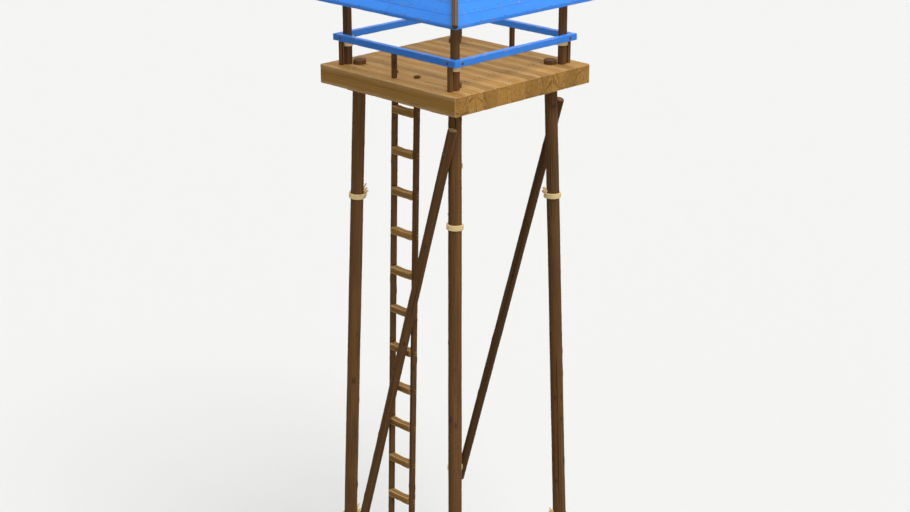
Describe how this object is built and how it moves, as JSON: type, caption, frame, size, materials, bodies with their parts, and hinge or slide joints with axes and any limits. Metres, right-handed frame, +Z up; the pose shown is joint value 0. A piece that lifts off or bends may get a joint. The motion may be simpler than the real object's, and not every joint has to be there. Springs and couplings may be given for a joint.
{
  "type": "fire lookout tower",
  "caption": "Open pole-built lookout tower: raked legs, rung ladder, long brace poles, thick timber deck with blue guard rails, and a blue pyramid roof on posts.",
  "frame": {"origin": "on the ground, at the centre of the four legs", "axes": "+Z up, -Y out of the front, where the ladder climbs, +X to the right when facing the ladder from outside"},
  "size_m": [3.2328, 3.2328, 12.8985],
  "materials": {
    "pole_timber": "weathered round poles",
    "sawn_timber": "sawn, dry and lightly weathered",
    "rope": "natural fibre rope",
    "blue_paint": "blue painted boards"
  },
  "bodies": {
    "root": {"bearer_left": "sawn_timber", "bearer_right": "sawn_timber", "brace_back": "pole_timber", "brace_front": "pole_timber", "canopy_post_back_left": "pole_timber", "canopy_post_back_right": "pole_timber", "canopy_post_front_left": "pole_timber", "canopy_post_front_right": "pole_timber", "deck_timbers": "sawn_timber", "eave_plate_back": "sawn_timber", "eave_plate_front": "sawn_timber", "eave_plate_left": "sawn_timber", "eave_plate_right": "sawn_timber", "guard_rail_back": "blue_paint", "guard_rail_front": "blue_paint", "guard_rail_left": "blue_paint", "guard_rail_right": "blue_paint", "hip_pole_back_left": "pole_timber", "hip_pole_back_right": "pole_timber", "hip_pole_front_left": "pole_timber", "hip_pole_front_right": "pole_timber", "ladder_rail_left": "pole_timber", "ladder_rail_right": "pole_timber", "ladder_rungs": "sawn_timber", "leg_back_left": "pole_timber", "leg_back_right": "pole_timber", "leg_front_left": "pole_timber", "leg_front_right": "pole_timber", "leg_lashings_lower": "rope", "leg_lashings_upper": "rope", "post_lashings": "rope", "rail_post_back_left": "pole_timber", "rail_post_back_right": "pole_timber", "rail_post_front_left": "pole_timber", "rail_post_front_right": "pole_timber", "rail_post_mid_back": "pole_timber", "rail_post_mid_front": "pole_timber", "roof_panel_back": "blue_paint", "roof_panel_front": "blue_paint", "roof_panel_left": "blue_paint", "roof_panel_right": "blue_paint"}
  },
  "joints": []
}
